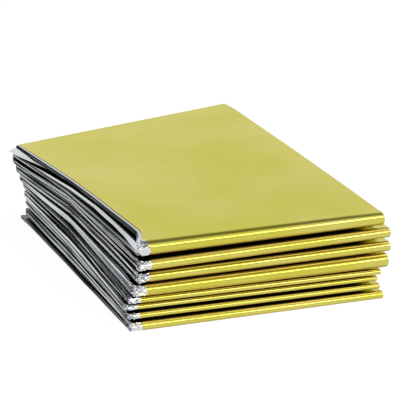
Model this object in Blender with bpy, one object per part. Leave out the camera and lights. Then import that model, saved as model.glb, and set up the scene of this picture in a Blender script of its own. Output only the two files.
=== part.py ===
"""Emergency foil blanket, folded into its pocket-sized pack.

One sheet of metallised film, gold on one face and silver on the other. It is first folded
lengthwise into a narrow strip, and the strip is then laid back and forth on itself. The
solid is that strip: sixteen panels, one above the other, joined by eight folds at the front
(-Y) and seven at the back (+Y). The strip's open side, with its cut edges and silver folds,
is at -X, its closed side is at +X, and both of its ends are at the back.
"""

import bmesh
import bpy
import numpy as np

MM = 0.001

# The folded pack
PACK_DEPTH = 120.0 * MM
FRONT_FOLD_COUNT = 8
PANEL_COUNT = 2 * FRONT_FOLD_COUNT

# The strip and the air in and between its panels
STRIP_THICKEST = 1.6 * MM
HOLLOW_IN_FOLD = 0.3 * MM
GAP_BETWEEN_PANELS = 0.45 * MM

# Where along the pack's depth the folds end and the evenly pressed middle is reached, and
# how far the pack swells there above the straight line from its front to its back
FRONT_ZONE = 0.02
BACK_ZONE = 0.95
MIDDLE = 0.5
MIDDLE_RISE = {"left": 1.6 * MM, "right": 0.5 * MM}

# The front folds from the bottom up, in millimetres. Each row has the heights of the fold's
# underside and top at its left and right ends, the places of those two ends, and how far
# the fold stands ahead of the front line.
FRONT_FOLD_COLUMNS = ("low_left", "high_left", "low_right", "high_right", "left", "right", "ahead")
FRONT_FOLDS = (
    (0.0, 2.8, 0.0, 2.5, -48.0, 43.9, 0.4),
    (3.9, 5.8, 3.5, 5.2, -48.6, 42.7, -0.3),
    (6.9, 8.6, 6.3, 8.0, -49.4, 41.6, -0.6),
    (9.2, 11.1, 8.7, 10.5, -48.5, 42.5, 0.0),
    (11.5, 15.0, 11.1, 15.8, -46.9, 44.9, 0.5),
    (15.9, 19.0, 16.8, 20.1, -45.6, 45.4, 0.2),
    (19.9, 23.1, 21.9, 25.1, -45.3, 44.7, 0.6),
    (24.6, 28.8, 26.3, 30.4, -45.8, 42.4, 0.0),
)

# The back folds from the bottom up, with the strip's two single ends as the first and last
# rows. The last column is how far each reaches past the back line.
BACK_FOLD_COLUMNS = ("low_left", "high_left", "low_right", "high_right", "left", "right", "past")
BACK_FOLDS = (
    (0.0, 1.5, 0.0, 1.6, -48.6, 42.9, 0.2),
    (2.0, 5.0, 2.4, 6.8, -46.9, 43.4, -0.8),
    (5.5, 8.6, 7.4, 11.8, -46.8, 43.1, 0.3),
    (9.1, 12.2, 12.5, 17.2, -47.6, 42.2, -0.4),
    (12.7, 15.4, 17.9, 22.3, -47.6, 41.5, 0.6),
    (15.9, 18.8, 23.0, 27.4, -49.2, 40.2, -0.2),
    (19.4, 22.6, 28.1, 32.8, -50.3, 39.4, 0.5),
    (23.2, 27.5, 33.6, 38.4, -51.8, 38.6, 0.0),
    (28.1, 29.9, 39.4, 41.3, -52.2, 37.7, -0.5),
)

# A fold's outline seen from the side: its depth, and how square its corners are
FOLD_DEPTH_FROM_HEIGHT = 0.45
FOLD_DEPTH_LEAST = 1.5 * MM
INNER_FOLD_DEPTH_SHARE = 0.3
CORNER_SQUARENESS = 0.72
FOLD_STEPS = 6

# The strip's section. Its left side is two stacks of silver folds with a groove between
# them, behind the set-back cut edges of the outermost layers. Its right side is closed.
CUT_EDGE_SET_BACK = 1.6 * MM
SILVER_FOLD_ROUNDING = 0.2 * MM
SILVER_FOLD_THICKNESS = (0.14, 0.34)
GROOVE_DEPTH = 1.1 * MM
RIGHT_FOLD_ROUNDING = 0.5 * MM
RIGHT_FOLD_SHOULDER = (0.1 * MM, 0.2)
SECTION_STEPS = 6
PANEL_STATIONS = (0.0, 0.12, 0.3, 0.5, 0.7, 0.88, 1.0)

GOLD_COLOUR = (0.62, 0.55, 0.13, 1.0)
GOLD_ROUGHNESS = 0.25
GOLD_METALLIC = 1.0
SHARP_EDGE_DEGREES = 40


def read_rows(rows, columns):
    """The table as one array for each column, in metres."""
    table = np.array(rows) * MM
    return {name: table[:, index] for index, name in enumerate(columns)}


def fold_levels(fold, side):
    """Undersides and tops of the legs of each fold at one side, lower legs and upper legs."""
    low = fold["low_" + side]
    high = fold["high_" + side]
    wall = np.minimum((high - low - HOLLOW_IN_FOLD) / 2, STRIP_THICKEST)
    return low, low + wall, high - wall, high


def front_levels(side):
    """Underside and top of each panel where it meets the front folds."""
    lower_under, lower_top, upper_under, upper_top = fold_levels(FRONT, side)
    under = np.column_stack((lower_under, upper_under)).ravel()
    top = np.column_stack((lower_top, upper_top)).ravel()
    return under, top


def back_levels(side):
    """Underside and top of each panel at the back, where the first and last panel end singly."""
    lower_under, lower_top, upper_under, upper_top = fold_levels(BACK, side)
    under = np.column_stack((lower_under, upper_under)).ravel()
    top = np.column_stack((lower_top, upper_top)).ravel()
    under[0], top[0] = BACK["low_" + side][0], BACK["high_" + side][0]
    under[-2], top[-2] = BACK["low_" + side][-1], BACK["high_" + side][-1]
    return np.delete(under, [1, -1]), np.delete(top, [1, -1])


def middle_levels(side):
    """Underside and top of each panel in the middle, where the pack is pressed evenly."""
    height = (FRONT["high_" + side][-1] + BACK["high_" + side][-1]) / 2 + MIDDLE_RISE[side]
    pitch = (height + GAP_BETWEEN_PANELS) / PANEL_COUNT
    under = pitch * np.arange(PANEL_COUNT)
    return under, under + pitch - GAP_BETWEEN_PANELS


def rise(value, start, end):
    """0 before start, 1 after end and even between."""
    return min(max((value - start) / (end - start), 0.0), 1.0)


def blend(first, second, share):
    return first + (second - first) * share


FRONT = read_rows(FRONT_FOLDS, FRONT_FOLD_COLUMNS)
BACK = read_rows(BACK_FOLDS, BACK_FOLD_COLUMNS)
LEVELS = {
    side: (front_levels(side), middle_levels(side), back_levels(side))
    for side in ("left", "right")
}


def panel_surfaces(panel, x, y):
    """Heights of a panel's underside and top at a place in the pack."""
    left_end, right_end = strip_ends(panel, y)
    across = (x - left_end) / (right_end - left_end)
    along = y / PACK_DEPTH
    back_weight = rise(along, MIDDLE, BACK_ZONE)
    front_weight = 1 - rise(along, FRONT_ZONE, MIDDLE)
    weights = (front_weight, 1 - front_weight - back_weight, back_weight)
    heights = []
    for surface in (0, 1):
        height = 0.0
        for weight, left, right in zip(weights, LEVELS["left"], LEVELS["right"]):
            height += weight * blend(left[surface][panel], right[surface][panel], across)
        heights.append(height)
    return heights


def strip_ends(panel, y):
    """Places of the strip's left and right edges at a place along a panel."""
    share = rise(y, 0.0, PACK_DEPTH)
    front_row = panel // 2
    back_row = (panel + 1) // 2
    left = blend(FRONT["left"][front_row], BACK["left"][back_row], share)
    right = blend(FRONT["right"][front_row], BACK["right"][back_row], share)
    return left, right


def fold_depth(lower_panel, x, y):
    """How far a fold's outline reaches past the ends of its two panels."""
    under = panel_surfaces(lower_panel, x, y)[0]
    top = panel_surfaces(lower_panel + 1, x, y)[1]
    return max((top - under) * FOLD_DEPTH_FROM_HEIGHT, FOLD_DEPTH_LEAST)


def panel_span(panel, x):
    """Where a panel starts at the front and ends at the back."""
    front_line = -FRONT["ahead"][panel // 2]
    back_line = PACK_DEPTH + BACK["past"][(panel + 1) // 2]
    front = front_line + fold_depth(panel - panel % 2, x, 0.0)
    if panel in (0, PANEL_COUNT - 1):
        return front, back_line
    lower_panel = panel if panel % 2 else panel - 1
    return front, back_line - fold_depth(lower_panel, x, PACK_DEPTH)


def panel_faces(panel, share, x):
    """The strip's first and second face, as (y, z) places, at a share of a panel's span."""
    front, back = panel_span(panel, x)
    y = blend(front, back, share)
    under, top = panel_surfaces(panel, x, y)
    if panel % 2:
        return (y, top), (y, under)
    return (y, under), (y, top)


def rounded(angle, depth, height):
    """A place on half of a rounded rectangle, by angle from its lower to its upper corner."""
    outward = depth * np.cos(angle) ** CORNER_SQUARENESS
    rise = height * np.sign(np.sin(angle)) * abs(np.sin(angle)) ** CORNER_SQUARENESS
    return outward, rise


def fold_faces(lower_panel, angle, x):
    """The strip's two faces around the fold that joins a panel to the one above it."""
    at_front = lower_panel % 2 == 0
    front, back = panel_span(lower_panel, x)
    y = front if at_front else back
    direction = -1 if at_front else 1
    low, inner_low = panel_surfaces(lower_panel, x, y)
    inner_high, high = panel_surfaces(lower_panel + 1, x, y)
    depth = fold_depth(lower_panel, x, 0.0 if at_front else PACK_DEPTH)
    wall = (inner_low - low + high - inner_high) / 2
    inner_depth = max(depth - wall, depth * INNER_FOLD_DEPTH_SHARE)
    places = []
    for start, end, reach in ((low, high, depth), (inner_low, inner_high, inner_depth)):
        outward, rise = rounded(angle, reach, (end - start) / 2)
        places.append((y + direction * outward, (start + end) / 2 + rise))
    if at_front:
        return places[0], places[1]
    return places[1], places[0]


def section_loop():
    """The strip's section, once around, as steps of (end, inset, share, thickness).

    Each step is measured inwards from the strip's left or right end, or is a share of the
    way between them, and lies at a share of the strip's thickness.
    """
    outer_thickness, inner_thickness = SILVER_FOLD_THICKNESS
    shoulder_inset, shoulder_thickness = RIGHT_FOLD_SHOULDER
    lower = [
        ("left", 0.0, 0.0, inner_thickness),
        ("left", SILVER_FOLD_ROUNDING, 0.0, outer_thickness),
        ("left", CUT_EDGE_SET_BACK, 0.0, 0.0),
    ]
    for step in range(1, SECTION_STEPS):
        lower.append(("between", 0.0, step / SECTION_STEPS, 0.0))
    lower.append(("right", RIGHT_FOLD_ROUNDING, 0.0, 0.0))
    lower.append(("right", shoulder_inset, 0.0, shoulder_thickness))
    upper = [(end, inset, share, 1 - thickness) for end, inset, share, thickness in reversed(lower)]
    groove = ("left", GROOVE_DEPTH, 0.0, 0.5)
    closed_side = ("right", 0.0, 0.0, 0.5)
    return [groove] + lower + [closed_side] + upper


def place_across(step, left, right):
    end, inset, share, _ = step
    if end == "left":
        return left + inset
    if end == "right":
        return right - inset
    return blend(left, right, share)


def strip_stations():
    """The strip's course from its lower end to its upper end, as functions of x."""
    stations = []
    angles = np.linspace(-np.pi / 2, np.pi / 2, FOLD_STEPS + 1)[1:-1]
    for panel in range(PANEL_COUNT):
        shares = PANEL_STATIONS if panel % 2 else reversed(PANEL_STATIONS)
        for share in shares:
            stations.append((panel_faces, panel, share))
        if panel < PANEL_COUNT - 1:
            for angle in angles:
                stations.append((fold_faces, panel, angle))
    return stations


def section_points(station, loop):
    faces, panel, place = station
    if faces is panel_faces:
        y_along = place * PACK_DEPTH
    else:
        y_along = 0.0 if panel % 2 == 0 else PACK_DEPTH
    left, right = strip_ends(panel, y_along)
    points = []
    for step in loop:
        x = place_across(step, left, right)
        first, second = faces(panel, place, x)
        thickness = step[3]
        y = blend(first[0], second[0], thickness)
        z = blend(first[1], second[1], thickness)
        points.append((x, y, z))
    return points


def close_end(mesh, ring):
    """Close one end of the strip: a fan from the groove to the cut edges, then quads."""
    half = len(ring) // 2
    cut_edge = 1 + len(SILVER_FOLD_THICKNESS)
    for index in range(1, cut_edge):
        mesh.faces.new((ring[0], ring[index], ring[index + 1]))
        mesh.faces.new((ring[0], ring[-index - 1], ring[-index]))
    mesh.faces.new((ring[0], ring[cut_edge], ring[-cut_edge]))
    for index in range(cut_edge, half - 1):
        mesh.faces.new((ring[index], ring[index + 1], ring[-index - 1], ring[-index]))
    mesh.faces.new((ring[half - 1], ring[half], ring[half + 1]))


def build_strip():
    loop = section_loop()
    mesh = bmesh.new()
    rings = []
    for station in strip_stations():
        ring = [mesh.verts.new(point) for point in section_points(station, loop)]
        rings.append(ring)
    count = len(loop)
    for ring, following in zip(rings, rings[1:]):
        for index in range(count):
            after = (index + 1) % count
            mesh.faces.new((ring[index], ring[after], following[after], following[index]))
    close_end(mesh, rings[0])
    close_end(mesh, rings[-1])
    bmesh.ops.recalc_face_normals(mesh, faces=mesh.faces)
    return mesh


def centre_on_base(mesh):
    """Put the origin at the middle of the underside."""
    places = np.array([vertex.co for vertex in mesh.verts])
    low, high = places.min(axis=0), places.max(axis=0)
    middle = (low + high) / 2
    bmesh.ops.translate(mesh, verts=mesh.verts, vec=(-middle[0], -middle[1], -low[2]))


def gold_film():
    material = bpy.data.materials.new("gold_film")
    material.use_nodes = True
    shader = material.node_tree.nodes["Principled BSDF"]
    shader.inputs["Base Color"].default_value = GOLD_COLOUR
    shader.inputs["Roughness"].default_value = GOLD_ROUGHNESS
    shader.inputs["Metallic"].default_value = GOLD_METALLIC
    return material


def main():
    for leftover in list(bpy.data.objects):
        bpy.data.objects.remove(leftover)
    strip = build_strip()
    centre_on_base(strip)
    data = bpy.data.meshes.new("foil_blanket")
    strip.to_mesh(data)
    strip.free()
    data.shade_smooth()
    data.set_sharp_from_angle(angle=np.radians(SHARP_EDGE_DEGREES))
    data.materials.append(gold_film())
    blanket = bpy.data.objects.new("foil_blanket", data)
    bpy.context.scene.collection.objects.link(blanket)


main()
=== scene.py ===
import math

import bpy
import numpy as np
from mathutils import Matrix, Vector, noise


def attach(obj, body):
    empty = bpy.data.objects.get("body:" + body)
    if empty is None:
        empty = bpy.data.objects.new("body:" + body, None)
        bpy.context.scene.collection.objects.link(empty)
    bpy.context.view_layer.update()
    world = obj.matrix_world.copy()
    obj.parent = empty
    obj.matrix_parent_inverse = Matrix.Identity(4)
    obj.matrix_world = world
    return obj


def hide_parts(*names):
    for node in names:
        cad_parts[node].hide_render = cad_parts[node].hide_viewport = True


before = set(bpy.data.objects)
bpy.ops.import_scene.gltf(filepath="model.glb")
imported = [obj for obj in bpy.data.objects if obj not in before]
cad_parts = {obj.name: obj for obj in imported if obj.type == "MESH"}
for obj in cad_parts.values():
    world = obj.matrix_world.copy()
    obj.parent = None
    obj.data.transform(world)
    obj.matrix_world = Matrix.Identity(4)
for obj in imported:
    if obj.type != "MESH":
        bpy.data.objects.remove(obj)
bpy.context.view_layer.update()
bpy.ops.object.select_all(action="DESELECT")

MM = 0.001

# Camera. It stands at the pack's open front left corner, a little above it, as close as
# for a picture of a small product, so the pack narrows visibly towards the back.
FRAME_SIZE = 400
CAMERA_LENS_PIXELS = 1323.5
CAMERA_TURN = math.radians(24.156)
CAMERA_TILT = math.radians(17.175)
CAMERA_ROLL = math.radians(2.094)
CAMERA_DISTANCE = 0.5
CAMERA_TARGET = Vector((12.51, 17.75, 15.0)) * MM
SENSOR_WIDTH = 36.0
NEAREST_SEEN = 0.01

bpy.ops.object.camera_add()
camera = bpy.context.object
camera.name = "camera"
camera.data.sensor_fit = "HORIZONTAL"
camera.data.sensor_width = SENSOR_WIDTH
camera.data.lens = SENSOR_WIDTH * CAMERA_LENS_PIXELS / FRAME_SIZE
camera.data.clip_start = NEAREST_SEEN
look = Vector((
    math.sin(CAMERA_TURN) * math.cos(CAMERA_TILT),
    math.cos(CAMERA_TURN) * math.cos(CAMERA_TILT),
    -math.sin(CAMERA_TILT),
))
level_right = Vector((math.cos(CAMERA_TURN), -math.sin(CAMERA_TURN), 0.0))
level_up = level_right.cross(look)
right = level_right * math.cos(CAMERA_ROLL) + level_up * math.sin(CAMERA_ROLL)
up = level_up * math.cos(CAMERA_ROLL) - level_right * math.sin(CAMERA_ROLL)
camera.matrix_world = (
    Matrix.Translation(CAMERA_TARGET - look * CAMERA_DISTANCE)
    @ Matrix((right, up, -look)).transposed().to_4x4()
)
bpy.context.scene.camera = camera


# The blanket, one sheet of polyester film 12 thousandths of a millimetre thick. It is
# metallised silver on one face and coloured gold on the other. At the factory it is first
# folded in sixteen across its width into a strip, then laid back and forth in sixteen.
SHEET_WIDTH = 1.4
SHEET_LENGTH = 2.1
FILM_THICKNESS = 0.012 * MM
LAYER_COUNT = 16
PANEL_COUNT = 16
PACK_DEPTH = 120.0 * MM
STRIP_THICKEST = 1.6 * MM
HOLLOW_IN_FOLD = 0.3 * MM
GAP_BETWEEN_PANELS = 0.45 * MM
MIDDLE_RISE = {"left": 1.6 * MM, "right": 0.5 * MM}

# The front folds from the bottom up: underside and top at the left and right ends, the
# places of those ends, and how far the fold stands ahead, all in millimetres.
FOLD_COLUMNS = ("low_left", "high_left", "low_right", "high_right", "left", "right", "ahead")
FRONT_FOLDS = (
    (0.0, 2.8, 0.0, 2.5, -48.0, 43.9, 0.4),
    (3.9, 5.8, 3.5, 5.2, -48.6, 42.7, -0.3),
    (6.9, 8.6, 6.3, 8.0, -49.4, 41.6, -0.6),
    (9.2, 11.1, 8.7, 10.5, -48.5, 42.5, 0.0),
    (11.5, 15.0, 11.1, 15.8, -46.9, 44.9, 0.5),
    (15.9, 19.0, 16.8, 20.1, -45.6, 45.4, 0.2),
    (19.9, 23.1, 21.9, 25.1, -45.3, 44.7, 0.6),
    (24.6, 28.8, 26.3, 30.4, -45.8, 42.4, 0.0),
)

# The back folds from the bottom up, with the strip's two single ends first and last.
BACK_FOLDS = (
    (0.0, 1.5, 0.0, 1.6, -48.6, 42.9, 0.2),
    (2.0, 5.0, 2.4, 6.8, -46.9, 43.4, -0.8),
    (5.5, 8.6, 7.4, 11.8, -46.8, 43.1, 0.3),
    (9.1, 12.2, 12.5, 17.2, -47.6, 42.2, -0.4),
    (12.7, 15.4, 17.9, 22.3, -47.6, 41.5, 0.6),
    (15.9, 18.8, 23.0, 27.4, -49.2, 40.2, -0.2),
    (19.4, 22.6, 28.1, 32.8, -50.3, 39.4, 0.5),
    (23.2, 27.5, 33.6, 38.4, -51.8, 38.6, 0.0),
    (28.1, 29.9, 39.4, 41.3, -52.2, 37.7, -0.5),
)


def table(rows):
    values = np.array(rows) * MM
    return {name: values[:, index] for index, name in enumerate(FOLD_COLUMNS)}


front = table(FRONT_FOLDS)
back = table(BACK_FOLDS)


def leg_levels(fold, side):
    """Underside and top of each fold's lower leg and upper leg, interleaved from the bottom."""
    low, high = fold["low_" + side], fold["high_" + side]
    wall = np.minimum((high - low - HOLLOW_IN_FOLD) / 2, STRIP_THICKEST)
    under = np.column_stack((low, high - wall)).ravel()
    top = np.column_stack((low + wall, high)).ravel()
    return under, top


def panel_levels(side):
    """Underside and top of every panel at the front, in the middle and at the back."""
    at_front = np.array(leg_levels(front, side))
    at_back = np.array(leg_levels(back, side))
    at_back[:, 0] = back["low_" + side][0], back["high_" + side][0]
    at_back[:, -1] = back["low_" + side][-1], back["high_" + side][-1]
    at_back = np.delete(at_back, [1, -2], axis=1)
    height = (front["high_" + side][-1] + back["high_" + side][-1]) / 2 + MIDDLE_RISE[side]
    pitch = (height + GAP_BETWEEN_PANELS) / PANEL_COUNT
    under = pitch * np.arange(PANEL_COUNT)
    in_middle = np.array((under, under + pitch - GAP_BETWEEN_PANELS))
    return np.array((at_front, in_middle, at_back))


# Behind the front folds the upper leg of each swells until it meets the next fold up.
ZONE_SHARES = (0.03, 0.09, 0.5, 0.95)
ZONES = np.array(ZONE_SHARES) * PACK_DEPTH
GAP_BEHIND_FOLDS = 0.3 * MM


def panel_zones(side):
    at_front, in_middle, at_back = panel_levels(side)
    middle_share = (ZONE_SHARES[1] - ZONE_SHARES[0]) / (ZONE_SHARES[2] - ZONE_SHARES[0])
    behind_folds = at_front * (1 - middle_share) + in_middle * middle_share
    behind_folds[1, 1:-1:2] = behind_folds[0, 2::2] - GAP_BEHIND_FOLDS
    return np.array((at_front, behind_folds, in_middle, at_back))


LEVELS = {side: panel_zones(side) for side in ("left", "right")}


def strip_ends(panel, share):
    """Places of the strip's left and right edges, at a share of the way to the back."""
    front_row, back_row = panel // 2, (panel + 1) // 2
    left = front["left"][front_row] * (1 - share) + back["left"][back_row] * share
    right = front["right"][front_row] * (1 - share) + back["right"][back_row] * share
    return left, right


def panel_heights(panel, x, y):
    """Heights of a panel's underside and top at places in the pack."""
    left_end, right_end = strip_ends(panel, np.clip(y / PACK_DEPTH, 0.0, 1.0))
    across = (x - left_end) / (right_end - left_end)
    heights = []
    for surface in (0, 1):
        left = np.interp(y, ZONES, LEVELS["left"][:, surface, panel])
        right = np.interp(y, ZONES, LEVELS["right"][:, surface, panel])
        heights.append(left + (right - left) * across)
    return heights


# Each fold's outline seen from the side, from its underside up: how far forward it reaches,
# as a share of its depth, and its height, from -1 to 1. The upper half is drawn out further
# back than the lower one, and a small lip stands up above it, except on the top fold.
FRONT_OUTLINE = ((0.35, -1.0), (0.68, -0.9), (0.9, -0.6), (0.98, -0.3), (1.0, 0.0), (0.985, 0.22),
                 (0.92, 0.42), (0.8, 0.58), (0.7, 0.66), (0.67, 0.76), (0.6, 0.89), (0.35, 0.98))
TOP_FRONT_OUTLINE = ((0.35, -1.0), (0.68, -0.92), (0.9, -0.68), (0.98, -0.35), (1.0, 0.0), (0.985, 0.25),
                     (0.93, 0.45), (0.84, 0.62), (0.74, 0.74), (0.6, 0.85), (0.42, 0.94), (0.2, 0.99))
BACK_OUTLINE = ((0.3, -0.97), (0.75, -0.7), (1.0, 0.0), (0.75, 0.7), (0.3, 0.97))
LOWER_DEPTH = 0.4
UPPER_DEPTH = 0.95
BACK_DEPTH = 0.6
FOLD_DEPTH_LEAST = 1.0 * MM
INNER_FOLD_DEPTH_SHARE = 0.3


def fold_outline(lower_panel):
    if lower_panel % 2:
        return BACK_OUTLINE
    return TOP_FRONT_OUTLINE if lower_panel == PANEL_COUNT - 2 else FRONT_OUTLINE


def leg_depth(panel, at_front, x):
    """How far the half of a fold that belongs to a panel reaches past the panel's end."""
    y = 0.0 if at_front else PACK_DEPTH
    lower_panel = panel - panel % 2 if at_front else panel - 1 + panel % 2
    under = panel_heights(lower_panel, x, y)[0]
    top = panel_heights(lower_panel + 1, x, y)[1]
    depth = BACK_DEPTH
    if at_front:
        depth = UPPER_DEPTH if panel % 2 else LOWER_DEPTH
    return np.maximum((top - under) * depth, FOLD_DEPTH_LEAST)


def panel_span(panel, x):
    """Where a panel leaves its front fold and where it reaches its back fold or end."""
    start = leg_depth(panel, True, x) - front["ahead"][panel // 2]
    end = np.full_like(x, PACK_DEPTH + back["ahead"][(panel + 1) // 2])
    if 0 < panel < PANEL_COUNT - 1:
        end = end - leg_depth(panel, False, x)
    return start, end


def panel_faces(panel, share, x):
    """The strip's two faces on a panel, as rows of y and z."""
    start, end = panel_span(panel, x)
    y = start + (end - start) * share
    under, top = panel_heights(panel, x, y)
    faces = np.array((y, under)), np.array((y, top))
    return faces[::-1] if panel % 2 else faces


def fold_faces(lower_panel, place, x):
    """The strip's two faces around the fold between a panel and the one above it."""
    at_front = lower_panel % 2 == 0
    forward, rise = place
    end = 0 if at_front else 1
    outward = -1 if at_front else 1
    lower_end, upper_end = panel_span(lower_panel, x)[end], panel_span(lower_panel + 1, x)[end]
    low, inner_low = panel_heights(lower_panel, x, lower_end)
    inner_high, high = panel_heights(lower_panel + 1, x, upper_end)
    panel = lower_panel + (rise > 0)
    y = upper_end if rise > 0 else lower_end
    depth = leg_depth(panel, at_front, x)
    inner_depth = np.maximum(depth - (inner_low - low + high - inner_high) / 2,
                             depth * INNER_FOLD_DEPTH_SHARE)
    outer = np.array((y + outward * depth * forward, (low + high) / 2 + (high - low) / 2 * rise))
    inner = np.array((y + outward * inner_depth * forward,
                      (inner_low + inner_high) / 2 + (inner_high - inner_low) / 2 * rise))
    return (outer, inner) if at_front else (inner, outer)


# The strip's course from its lower end to its upper end. Each station is a place on a
# panel or on a fold's outline, closer together where the film bends.
PANEL_STATIONS = (0.0, 0.012, 0.03, 0.06, 0.12, 0.22, 0.36, 0.52, 0.7, 0.84, 0.93, 1.0)

stations = []
for panel in range(PANEL_COUNT):
    for share in PANEL_STATIONS if panel % 2 else PANEL_STATIONS[::-1]:
        stations.append((panel_faces, panel, share))
    if panel < PANEL_COUNT - 1:
        for place in fold_outline(panel):
            stations.append((fold_faces, panel, place))


def depth_share(station):
    """How far back a station lies, from 0 at the front line to 1 at the back."""
    faces, panel, place = station
    if faces is panel_faces:
        return place
    return 0.0 if panel % 2 == 0 else 1.0


# Folded in sixteen, the film's right-hand folds show gold and its seven left-hand ones
# silver. How fat the silver folds are, for each panel from the lowest up and from its
# underside to its top. Those below 0 are dark: they lean back, and their film gets painted shade.
SILVER_FOLDS = (
    (1.8, -7, -0.4, -0.4, -0.4, -0.4, -0.4),
    (-0.6, -0.3, 6, 2, -0.3, -1.4, -0.3),
    (-2, -0.3, -0.3, 4, 1, -0.3, -0.3),
    (-2, -0.3, 2.4, -0.3, -2, 0.8, -0.3),
    (-0.3, 0.8, 3, -0.3, -0.3, -2, -0.3),
    (-0.6, 1, 8, 1, 1, -0.4, -0.4),
    (-1.6, -0.3, 3.5, -0.3, -0.3, -1.6, -0.3),
    (-1.6, -0.3, 1, 3, -0.3, -0.3, -1.6),
    (1, 1, 8, 1, 1, -0.3, -1.2),
    (1, 1, 7, 1, -0.3, -0.3, -1.6),
    (-1.2, 0.8, 5, 0.8, -0.3, -1.0, -0.3),
    (-2, -0.3, -0.3, 2.6, -0.3, -0.3, -1.6),
    (-2, -0.3, -0.3, 2.6, -2, -0.3, -0.3),
    (-1.2, 1.4, -1, 1.4, -1.2, 1.4, -1.2),
    (-1.2, 1.4, -0.3, -0.3, -0.3, -0.3, 9),
    (1.0, -0.5, -0.5, -0.5, -0.5, -0.5, -1.8),
)
DARK_LEAN = 0.6
DARK_SHADE = 0.8
LIGHT_SHADE = -0.1
STREAK_SHADE = 0.3
LIGHT_FOLD_SIZE = 1.35

# The painted shade sets in over this share of the depth, behind the front folds. Film inside a
# panel, where hardly any light gets, is darkened with painted shade of its own.
SHADE_SETS_IN = 0.04
INNER_SHADE = 0.9

# Two silver folds stand out. One under the top panel is broad near the front; the top
# panel's lowest splays out almost flat at the back. For each: which of its panel's folds it
# is, then from the front to the back its share of that fold's size, its lower edge's and
# its upper edge's distance from the strip's end, and how much painted shade it gets.
BROAD_FOLDS = {
    14: (6, (0.0, 0.07, 0.15, 0.24, 0.37, 0.54, 0.77, 0.84, 1.0),
         (1.0, 1.0, 1.0, 1.0, 0.8, 0.5, 0.3, 0.2, 0.15),
         (0.5, 0.8, 2.1, 2.1, 1.9, 0.8, -0.1, -0.2, 0.0),
         (2.0, 5.2, 4.1, 3.7, 3.1, 1.8, 0.8, 0.3, 0.2),
         (0.0, 0.0, 0.0, 0.0, 0.0, 0.0, 0.1, 0.8, 0.9)),
    15: (0, (0.0, 0.07, 0.16, 0.33, 0.5, 0.8, 0.84, 0.9, 1.0),
         (1.0, 0.4, 0.4, 0.4, 0.4, 0.4, 1.0, 2.5, 3.5),
         (0.5, 4.0, 3.5, 3.3, 2.6, 2.2, 0.4, -0.6, -1.2),
         (2.0, 4.2, 3.7, 3.5, 2.8, 2.4, 1.4, 2.0, 1.8),
         (0.0, 0.9, 0.9, 0.9, 0.9, 0.9, 0.1, 0.0, 0.0)),
}

# The gaps between layers are measured against the sizes of the folds. The lengths say how
# far a fold reaches around, how unevenly the folds end and where the two cut edges lie.
PRESSED_GAP = 0.22
OUTER_GAP = 0.7
SIZE_VARIETY = 0.45
GOLD_LOOP_VARIETY = 0.9
LOOP_REACH = 0.15 * MM
LOOP_SQUARENESS = 0.45
LOOP_LEAN = 0.07 * MM
LEFT_UNEVENNESS = 0.4 * MM
RIGHT_UNEVENNESS = 0.25 * MM
RIGHT_ROUNDING = 0.3 * MM
GOLD_EDGE = 3.9 * MM
INNER_EDGE_SET_BACK = 6.0 * MM

# The top panel's left side is drawn in: the distances of its gold edge from the strip's
# end, from the front to the back, with a narrow silver rim beside it. Past the rim's light
# part, the film under the gold edge gets painted shade, a dark line along that edge.
TOP_SHARES = (0.0, 0.03, 0.06, 0.1, 0.16, 0.33, 0.46, 0.67, 0.77, 1.0)
TOP_GOLD_EDGE = np.array((2.0, 4.1, 5.2, 5.3, 4.8, 4.6, 3.9, 3.8, 3.5, 3.0)) * MM
TOP_RIM = 1.4 * MM
TOP_RIM_LIGHT = 0.9 * MM

# Each quality of the folds wanders on its own, from a first seed of its own, at one rate
# from panel to panel and another along a panel. The back folds start further on.
SEED_STEP = 7.31
GOLD_LOOP_SEED = 0
LEFT_SEED = 20
RIGHT_SEED = 40
SIZE_SEED = 60
LEAN_SEED = 80
STREAK_SEED = 100
WANDER_BY_PANEL = 9.0
WANDER_ALONG = 5.0
SIZE_WANDER_ALONG = 4.0
BACK_FOLDS_FROM = 20


def wander(seed, along):
    """A smooth wandering value from about -1 to 1."""
    return 2.0 * noise.noise(Vector((seed * SEED_STEP, along, 0.5)))


def silver_folds(panel, share):
    """A panel's silver folds from the strip's outer face inwards: their sizes, how they lean,
    how far they splay out, how far their tops are set back and how much painted shade they get."""
    sizes = np.array(SILVER_FOLDS[panel], dtype=float)
    is_dark = sizes < 0
    leans = np.where(is_dark, DARK_LEAN, 0.0)
    splays = np.zeros_like(sizes)
    set_backs = np.zeros_like(sizes)
    loops = range(len(sizes))
    along = WANDER_BY_PANEL * panel + WANDER_ALONG * share
    streaks = np.array([wander(loop + STREAK_SEED, along) for loop in loops])
    shades = np.clip(np.where(is_dark, DARK_SHADE, LIGHT_SHADE) + STREAK_SHADE * streaks, 0.0, 1.0)
    shades *= np.clip(share / SHADE_SETS_IN, 0.0, 1.0)
    sizes = np.where(is_dark, -sizes, LIGHT_FOLD_SIZE * sizes)
    if panel in BROAD_FOLDS:
        which, shares, *columns = BROAD_FOLDS[panel]
        size, lower_edge, upper_edge, shade = (np.interp(share, shares, column) for column in columns)
        silver_edge = left_edges((panel_faces, panel, share))[1]
        sizes[which] *= size
        leans[which] = 0.0
        splays[which] = silver_edge - lower_edge * MM
        set_backs[which] = (upper_edge - lower_edge) * MM
        shades[which] = shade
    size_along = WANDER_BY_PANEL * panel + SIZE_WANDER_ALONG * share
    sizes *= [math.exp(SIZE_VARIETY * wander(loop + SIZE_SEED, size_along)) for loop in loops]
    folds = np.array((sizes, leans, splays, set_backs, shades))
    return folds[:, ::-1] if panel % 2 else folds


def loops_at(station):
    """The silver folds at a station, passing from leg to leg around a fold."""
    faces, panel, place = station
    if faces is panel_faces:
        return silver_folds(panel, place)
    share = depth_share(station)
    upper = (1 + place[1]) / 2
    return silver_folds(panel, share) * (1 - upper) + silver_folds(panel + 1, share) * upper


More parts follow.
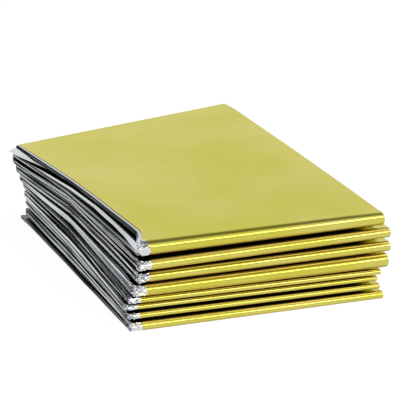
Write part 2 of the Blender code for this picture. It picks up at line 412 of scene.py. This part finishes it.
def layer_spread(sizes, along):
    """Where each layer lies between the strip's two faces, at the left and the right edge."""
    left_steps = np.full(LAYER_COUNT - 1, PRESSED_GAP)
    left_steps[1::2] = np.maximum(sizes, PRESSED_GAP)
    right_steps = np.full(LAYER_COUNT - 1, PRESSED_GAP)
    right_steps[0::2] = [math.exp(GOLD_LOOP_VARIETY * wander(loop + GOLD_LOOP_SEED, along))
                         for loop in range(LAYER_COUNT // 2)]
    spread = []
    for steps in (left_steps, right_steps):
        steps[[0, -1]] = OUTER_GAP
        spread.append(np.concatenate(([0.0], np.cumsum(steps))) / steps.sum())
    return spread


# How closely the sheet is followed across: distances from a layer's left edge in
# millimetres, then shares of the strip's width. The layers that show are followed closely,
# and the crushed one most of all.
WIDTH_SHARES = (0.09, 0.14, 0.3, 0.5, 0.85)
OUTERMOST = ((0.5, 1.5), WIDTH_SHARES)
CRUSHED = ((0.35, 0.7, 1.05, 1.4, 1.75, 2.1, 2.5, 2.9, 3.4, 3.9, 4.4, 5.3), WIDTH_SHARES)
UNDER_CRUSHED = ((0.25, 1.2, 2.4, 4.5), (0.5,))
INSIDE = ((0.4, 4.5), ())
INNERMOST = ((0.5, 1.5, 4.0), (0.14, 0.5, 0.85))
FOLLOWED = {0: OUTERMOST, 1: CRUSHED, 2: UNDER_CRUSHED, 3: UNDER_CRUSHED,
            LAYER_COUNT - 3: UNDER_CRUSHED, LAYER_COUNT - 2: UNDER_CRUSHED,
            LAYER_COUNT - 1: INNERMOST}

# The angles at which it is followed around each silver fold and each gold one.
LEFT_LOOP_STEPS = np.radians((-68, -34, 0, 34, 68))
RIGHT_LOOP_STEPS = np.radians((0,))


def left_edges(station):
    """How far the sheet's outer cut edge and its silver folds lie from the strip's left end."""
    faces, panel, place = station
    if panel == PANEL_COUNT - 1:
        gold_edge = np.interp(place, TOP_SHARES, TOP_GOLD_EDGE)
        return gold_edge, gold_edge - TOP_RIM
    if faces is panel_faces:
        return GOLD_EDGE, 0.0
    upper = max(0.0, place[1]) if panel == PANEL_COUNT - 2 else 0.0
    gold_edge = GOLD_EDGE * (1 - upper) + TOP_GOLD_EDGE[0] * upper
    return gold_edge, (TOP_GOLD_EDGE[0] - TOP_RIM) * upper


def turn_at(station):
    """How a station is turned around its fold, from -1 on the underside to 1 on top."""
    faces, panel, place = station
    return place[1] if faces is fold_faces else 2.0 * (panel % 2) - 1


def section(station):
    """Places across the strip and in its thickness and the film's painted shade, through all
    layers from edge to edge."""
    faces, panel, place = station
    share = depth_share(station)
    left, right = strip_ends(panel, share)
    gold_edge, silver_edge = left_edges(station)
    fold = (panel + 1) // 2 + BACK_FOLDS_FROM if share > 0.5 else panel // 2
    along = WANDER_BY_PANEL * fold + WANDER_ALONG * min(share, 1 - share)
    sizes, leans, splays, set_backs, shades = loops_at(station)
    at_left, at_right = layer_spread(sizes, along)
    first, second = faces(panel, place, np.array([left]))
    wall = np.linalg.norm(second - first)
    starts = np.full(LAYER_COUNT, left + silver_edge)
    for loop, lean in enumerate(leans):
        below, above = 2 * loop + 1, 2 * loop + 2
        slope = -turn_at(station) * (lean * wall * (at_left[above] - at_left[below]) + set_backs[loop])
        unevenness = LEFT_UNEVENNESS * (1 + wander(loop + LEFT_SEED, along)) / 2
        starts[[below, above]] += LOOP_REACH + unevenness - splays[loop]
        starts[below] += max(0.0, -slope)
        starts[above] += max(0.0, slope)
    starts[0] = left + gold_edge
    starts[-1] = left + silver_edge + INNER_EDGE_SET_BACK
    ends = right - 2 * LOOP_REACH - RIGHT_ROUNDING * (2 * at_right - 1) ** 2
    ends -= [RIGHT_UNEVENNESS * abs(wander(layer // 2 + RIGHT_SEED, along))
             for layer in range(LAYER_COUNT)]
    xs, thickness, shade = [], [], []
    for layer in range(LAYER_COUNT):
        offsets, shares = FOLLOWED.get(layer, INSIDE)
        course = [starts[layer]] + [starts[layer] + offset * MM for offset in offsets]
        course += [left + (right - left) * across for across in shares] + [ends[layer]]
        course = np.array(course[::-1] if layer % 2 else course)
        across = (course - left) / (right - left)
        xs.append(course)
        thickness.append(at_left[layer] + (at_right[layer] - at_left[layer]) * across)
        # Painted shade: film inside a panel is darkened, and each silver fold gets its own from its
        # table.
        inside = 1 < layer < LAYER_COUNT - 1 and faces is panel_faces
        shade.append(np.full(len(course), INNER_SHADE * min(share / SHADE_SETS_IN, 1.0) * inside))
        # Painted shade on the top panel's rim, past its light part.
        if panel == PANEL_COUNT - 1 and layer == 1:
            shade[-1] += course - starts[1] > TOP_RIM_LIGHT
        if 0 < layer < LAYER_COUNT - 1:
            shade[-1][-1 if layer % 2 else 0] = shades[(layer - 1) // 2]
        if layer == LAYER_COUNT - 1:
            break
        edge = at_left if layer % 2 else at_right
        middle, half = (edge[layer] + edge[layer + 1]) / 2, (edge[layer + 1] - edge[layer]) / 2
        if layer % 2:
            outward = np.cos(LEFT_LOOP_STEPS) ** LOOP_SQUARENESS
            inward = np.sign(LEFT_LOOP_STEPS) * np.abs(np.sin(LEFT_LOOP_STEPS)) ** LOOP_SQUARENESS
            lean = LOOP_LEAN * wander(layer + LEAN_SEED, along) + (starts[layer + 1] - starts[layer]) / 2
            xs.append((starts[layer] + starts[layer + 1]) / 2 - LOOP_REACH * outward + lean * inward)
            thickness.append(middle + half * inward)
            shade.append(np.full(len(inward), shades[layer // 2]))
        else:
            xs.append(ends[layer] + 2 * LOOP_REACH * np.cos(RIGHT_LOOP_STEPS))
            thickness.append(middle + half * np.sin(RIGHT_LOOP_STEPS))
            shade.append(np.zeros(len(RIGHT_LOOP_STEPS)))
    return np.concatenate(xs), np.concatenate(thickness), np.concatenate(shade)


# The sheet's points, station by station. Its film counts as bent on the folds and just
# behind the front ones, apart from the top fold's upper half and the top panel; only bent
# film gets painted shade and reflection on its lips and undersides.
BENT_UP_TO = 0.05

rows, turned, bent, shaded = [], [], [], []
for station in stations:
    x, thickness, shade = section(station)
    faces, panel, place = station
    first, second = faces(panel, place, x)
    y, z = first + (second - first) * thickness
    rows.append(np.column_stack((x, y, z)))
    shaded.append(shade)
    turned.append(turn_at(station))
    if faces is fold_faces:
        is_bent = panel < PANEL_COUNT - 2 or place[1] < 0
    else:
        is_bent = panel < PANEL_COUNT - 1 and place < BENT_UP_TO
    bent.append(float(is_bent))
points = np.array(rows)
station_count, section_count = points.shape[:2]

# Where the front folds end at the left, the film is crushed into small bright facets, with
# finer ones on them. They are less high than wide, and flatter near the ground.
CRUSHED_REACH = 4.2 * MM
CRUSHED_FADE = 0.6
CRUSHED_DEPTH = 4.0 * MM
CRUSHED_SIZE = 0.95 * MM
CRUSHED_LEAST = 0.02 * MM
CRUSHED_PITCH = 0.62 * MM
FINE_SHARE = 0.5
FINE_RATE = 2.3
UPRIGHT_SHARE = 0.6
CALM_BELOW = 1.0 * MM
AXIS_STEP = 0.01


def crush(points, lefts):
    """Shift the points near the crushed ends, and return which points those are."""
    flat = points.reshape(-1, 3)
    left = np.repeat(lefts, section_count)
    near_left = np.clip(1 - (flat[:, 0] - left) / CRUSHED_REACH, 0.0, 1.0) ** CRUSHED_FADE
    near_front = np.exp(-(np.maximum(flat[:, 1], 0) / CRUSHED_DEPTH) ** 2)
    amount = near_left * near_front * CRUSHED_SIZE
    is_crushed = amount > CRUSHED_LEAST
    for axis, others in ((0, [1, 2]), (1, [0, 2]), (2, [0, 1])):
        for index in np.flatnonzero(is_crushed):
            place = Vector((*flat[index, others], AXIS_STEP * axis)) / CRUSHED_PITCH
            shift = noise.noise(place) + FINE_SHARE * noise.noise(place * FINE_RATE)
            scale = min(flat[index, 2] / CALM_BELOW, 1.0) * UPRIGHT_SHARE if axis == 2 else 1.0
            flat[index, axis] += amount[index] * shift * scale
    return is_crushed


lefts = [strip_ends(station[1], depth_share(station))[0] for station in stations]
crushed = crush(points, np.array(lefts))

leftmost = min(back["left"].min(), front["left"].min())
rightmost = max(back["right"].max(), front["right"].max())
middle_x = (leftmost + rightmost) / 2
middle_y = (PACK_DEPTH + back["ahead"].max() - front["ahead"].max()) / 2
points -= np.array((middle_x, middle_y, 0.0))

# The film shows gold outside and silver inside, but in the crushed ends silver on both
# faces, so that no gold shows through between the facets.
corner = np.arange(station_count * section_count).reshape(station_count, section_count)
quads = np.stack((corner[:-1, :-1], corner[:-1, 1:], corner[1:, 1:], corner[1:, :-1]), axis=-1)
quads = quads.reshape(-1, 4)
film = bpy.data.meshes.new("foil_sheet")
film.from_pydata(points.reshape(-1, 3).tolist(), [], quads.tolist())
film.polygons.foreach_set("material_index", crushed[quads].all(axis=1).astype(np.int32))
film.update()
sheet = bpy.data.objects.new("foil_sheet", film)
bpy.context.scene.collection.objects.link(sheet)
bpy.context.view_layer.objects.active = sheet
sheet.select_set(True)


def lengths_along(line, total):
    """How far along the sheet each point of a line lies, when the whole line has this length."""
    steps = np.linalg.norm(np.diff(line, axis=0), axis=1)
    return np.concatenate(([0.0], np.cumsum(steps))) * total / steps.sum()


# The flat sheet's own coordinates, in metres across and along it. With them go how each
# place is turned around its fold, from -1 on the underside to 1 on top, whether the film
# is bent there and how much painted shade it gets.
across_sheet = lengths_along(points[station_count // 2], SHEET_WIDTH)
along_sheet = lengths_along(points[:, section_count // 2], SHEET_LENGTH)
layout = film.uv_layers.new(name="sheet")
vertex_of_loop = np.empty(len(film.loops), dtype=np.int32)
film.loops.foreach_get("vertex_index", vertex_of_loop)
uv = np.column_stack((across_sheet[vertex_of_loop % section_count],
                      along_sheet[vertex_of_loop // section_count]))
layout.data.foreach_set("uv", uv.ravel())
for name, values in (("turn", np.repeat(turned, section_count)),
                     ("bend", np.repeat(bent, section_count)),
                     ("shade", np.array(shaded).ravel())):
    attribute = film.attributes.new(name, "FLOAT", "POINT")
    attribute.data.foreach_set("value", values)


# Both faces share soft clouds of colour and the film's fine creases, which run slanting
# across the folds. The gold gets painted shade and reflection, deeper and browner, on the
# lips and undersides of the front folds, and film with painted shade looks nearly black.
CREASE_SLANT = math.radians(14)
CREASE_LENGTH = 12.0 * MM
CREASE_WIDTH = 0.7 * MM
CREASE_DETAIL = 2.0
CREASE_HEIGHT = 0.06 * MM
CREASE_STRENGTH = 0.12
CREASES_ON_PANELS = 0.05
CLOUDS_PER_METRE = 26.0
CLOUD_DETAIL = 3.0
CLOUD_LIMITS = (0.35, 0.65)
SHADED_COLOUR = (0.012, 0.018, 0.016)

# The turns around a fold between which the film is on its lip or its underside: where that
# sets in and where it is full, from either end.
LIP = ((0.6, 0.76), (0.98, 0.9))
UNDERSIDE = ((-0.4, -0.75), (-1.0, -0.92))


def calculate(tree, operation, first, second):
    """What an operation makes of two numbers or outputs, in a material or in the room."""
    node = tree.nodes.new("ShaderNodeMath")
    node.operation = operation
    for socket, value in zip(node.inputs, (first, second)):
        if isinstance(value, float):
            socket.default_value = value
        else:
            tree.links.new(value, socket)
    return node.outputs[0]


def rise(tree, value, start, end, low=0.0, high=1.0):
    """A smooth change from low, where the value is at start, to high, where it is at end."""
    node = tree.nodes.new("ShaderNodeMapRange")
    node.interpolation_type = "SMOOTHSTEP"
    tree.links.new(value, node.inputs["Value"])
    for name, number in (("From Min", start), ("From Max", end), ("To Min", low), ("To Max", high)):
        node.inputs[name].default_value = number
    return node.outputs["Result"]


def film_material(name, colour, pale_colour, painted_shade_and_reflection_colour, edge_tint,
                  roughness, lips_and_undersides_roughness, lips_and_undersides_metallic):
    """The look of one face of the film. Its lips and undersides get painted shade and
    reflection, in a deeper colour and with their own roughness and metallic.
    """
    material = bpy.data.materials.new(name)
    material.use_nodes = True
    tree = material.node_tree
    nodes, links = tree.nodes, tree.links
    shader = nodes["Principled BSDF"]
    shader.inputs["Specular Tint"].default_value = (*edge_tint, 1.0)

    def attribute_value(attribute_name):
        node = nodes.new("ShaderNodeAttribute")
        node.attribute_name = attribute_name
        return node.outputs["Fac"]

    def mix(factor, first, second):
        node = nodes.new("ShaderNodeMix")
        node.data_type = "RGBA"
        for socket, value in ((node.inputs["A"], first), (node.inputs["B"], second)):
            if isinstance(value, tuple):
                socket.default_value = (*value, 1.0)
            else:
                links.new(value, socket)
        links.new(factor, node.inputs["Factor"])
        return node.outputs["Result"]

    turned_by = attribute_value("turn")
    on_lip = calculate(tree, "MINIMUM", *(rise(tree, turned_by, *limits) for limits in LIP))
    underneath = calculate(tree, "MINIMUM", *(rise(tree, turned_by, *limits) for limits in UNDERSIDE))
    lips_and_undersides = calculate(tree, "MULTIPLY", calculate(tree, "MAXIMUM", on_lip, underneath),
                       attribute_value("bend"))

    place = nodes.new("ShaderNodeUVMap")
    place.uv_map = "sheet"
    clouds = nodes.new("ShaderNodeTexNoise")
    clouds.inputs["Scale"].default_value = CLOUDS_PER_METRE
    clouds.inputs["Detail"].default_value = CLOUD_DETAIL
    links.new(place.outputs["UV"], clouds.inputs["Vector"])
    cloudy = mix(rise(tree, clouds.outputs["Fac"], *CLOUD_LIMITS), colour, pale_colour)
    # Painted shade and reflection: the lips and undersides take the deeper colour.
    with_painted_shade_and_reflection = mix(lips_and_undersides, cloudy, painted_shade_and_reflection_colour)
    links.new(mix(attribute_value("shade"), with_painted_shade_and_reflection, SHADED_COLOUR), shader.inputs["Base Color"])
    links.new(rise(tree, lips_and_undersides, 0.0, 1.0, roughness, lips_and_undersides_roughness), shader.inputs["Roughness"])
    links.new(rise(tree, lips_and_undersides, 0.0, 1.0, 1.0, lips_and_undersides_metallic), shader.inputs["Metallic"])

    slant = nodes.new("ShaderNodeMapping")
    slant.vector_type = "TEXTURE"
    slant.inputs["Rotation"].default_value = (0.0, 0.0, CREASE_SLANT)
    slant.inputs["Scale"].default_value = (CREASE_LENGTH, CREASE_WIDTH, 1.0)
    links.new(place.outputs["UV"], slant.inputs["Vector"])
    creases = nodes.new("ShaderNodeTexNoise")
    creases.inputs["Scale"].default_value = 1.0
    creases.inputs["Detail"].default_value = CREASE_DETAIL
    links.new(slant.outputs["Vector"], creases.inputs["Vector"])
    on_fold = calculate(tree, "SUBTRACT", 1.0 + CREASES_ON_PANELS,
                        calculate(tree, "POWER", turned_by, 2.0))
    bump = nodes.new("ShaderNodeBump")
    bump.inputs["Strength"].default_value = CREASE_STRENGTH
    bump.inputs["Distance"].default_value = CREASE_HEIGHT
    links.new(calculate(tree, "MULTIPLY", creases.outputs["Fac"], on_fold), bump.inputs["Height"])
    links.new(bump.outputs["Normal"], shader.inputs["Normal"])
    return material


gold = film_material(
    "gold_face", colour=(0.56, 0.52, 0.07), pale_colour=(0.61, 0.55, 0.13),
    painted_shade_and_reflection_colour=(0.42, 0.29, 0.05), edge_tint=(0.96, 0.95, 0.75),
    roughness=0.16, lips_and_undersides_roughness=0.3, lips_and_undersides_metallic=0.85)
silver = film_material(
    "silver_face", colour=(0.64, 0.66, 0.68), pale_colour=(0.70, 0.71, 0.73),
    painted_shade_and_reflection_colour=(0.64, 0.66, 0.68), edge_tint=(0.9, 0.92, 0.92),
    roughness=0.07, lips_and_undersides_roughness=0.07, lips_and_undersides_metallic=1.0)
film.materials.append(gold)
film.materials.append(silver)

# The film's thickness, with gold on its outer face and silver on the inner one and the rim.
SMOOTH_WITHIN = math.radians(40)
solidify = sheet.modifiers.new("film", "SOLIDIFY")
solidify.thickness = FILM_THICKNESS
solidify.offset = -1.0
solidify.material_offset = 1
solidify.material_offset_rim = 1
bpy.ops.object.modifier_apply(modifier=solidify.name)
bpy.ops.object.shade_smooth_by_angle(angle=SMOOTH_WITHIN)

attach(sheet, "root")
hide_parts("foil_blanket")


# Floor and light: white paper under a long soft light overhead, in a bright room. The room
# is dim behind the pack's left side, high up behind the pack and in front of its left side,
# which draws the folds.
FLOOR_SIZE = 6.0
PAPER_GREY = 0.12
PAPER_GLOW = 0.93
PAPER_ROUGHNESS = 0.9
WHITE = (1.0, 1.0, 1.0, 1.0)

bpy.ops.object.select_all(action="DESELECT")
bpy.ops.mesh.primitive_plane_add(size=FLOOR_SIZE, location=(0, 0, 0))
floor = bpy.context.object
floor.name = "floor"
paper = bpy.data.materials.new("floor_paper")
paper.use_nodes = True
paper_shader = paper.node_tree.nodes["Principled BSDF"]
paper_shader.inputs["Base Color"].default_value = (PAPER_GREY, PAPER_GREY, PAPER_GREY, 1.0)
paper_shader.inputs["Emission Color"].default_value = WHITE
paper_shader.inputs["Emission Strength"].default_value = PAPER_GLOW
paper_shader.inputs["Roughness"].default_value = PAPER_ROUGHNESS
paper_shader.inputs["Specular IOR Level"].default_value = 0.0
floor.data.materials.append(paper)

world = bpy.data.worlds.new("studio")
bpy.context.scene.world = world
world.use_nodes = True
room = world.node_tree
direction = room.nodes.new("ShaderNodeTexCoord")
parts = room.nodes.new("ShaderNodeSeparateXYZ")
room.links.new(direction.outputs["Generated"], parts.inputs[0])
to_right, to_back, to_top = parts.outputs

# For each dim part of the room: how dim it is, and twice a direction with where the dimness
# sets in on that way and where it is full.
DIM_PARTS = (
    (0.95, (to_back, 0.25, 0.5), (to_right, -0.26, -0.38)),
    (0.75, (to_back, 0.05, 0.25), (to_top, 0.5, 0.7)),
    (0.8, (to_back, -0.45, -0.65), (to_right, 0.0, -0.25)),
)
dimness = 0.0
for full_dimness, first_way, second_way in DIM_PARTS:
    in_part = calculate(room, "MULTIPLY", rise(room, *first_way), rise(room, *second_way))
    dimness = calculate(room, "MAXIMUM", dimness, calculate(room, "MULTIPLY", in_part, full_dimness))
background = room.nodes["Background"]
room.links.new(calculate(room, "SUBTRACT", 1.0, dimness), background.inputs["Strength"])
background.inputs["Color"].default_value = WHITE

LIGHT_PLACE = (0.36, -0.6, 0.58)
LIGHT_LENGTH = 1.1
LIGHT_WIDTH = 0.17
LIGHT_POWER = 3.6
bpy.ops.object.light_add(type="AREA", location=LIGHT_PLACE)
overhead = bpy.context.object
overhead.name = "overhead_light"
overhead.data.shape = "RECTANGLE"
overhead.data.size = LIGHT_LENGTH
overhead.data.size_y = LIGHT_WIDTH
overhead.data.energy = LIGHT_POWER
overhead.rotation_euler = (-overhead.location).to_track_quat("-Z", "Y").to_euler()

bpy.context.scene.view_settings.view_transform = "Standard"
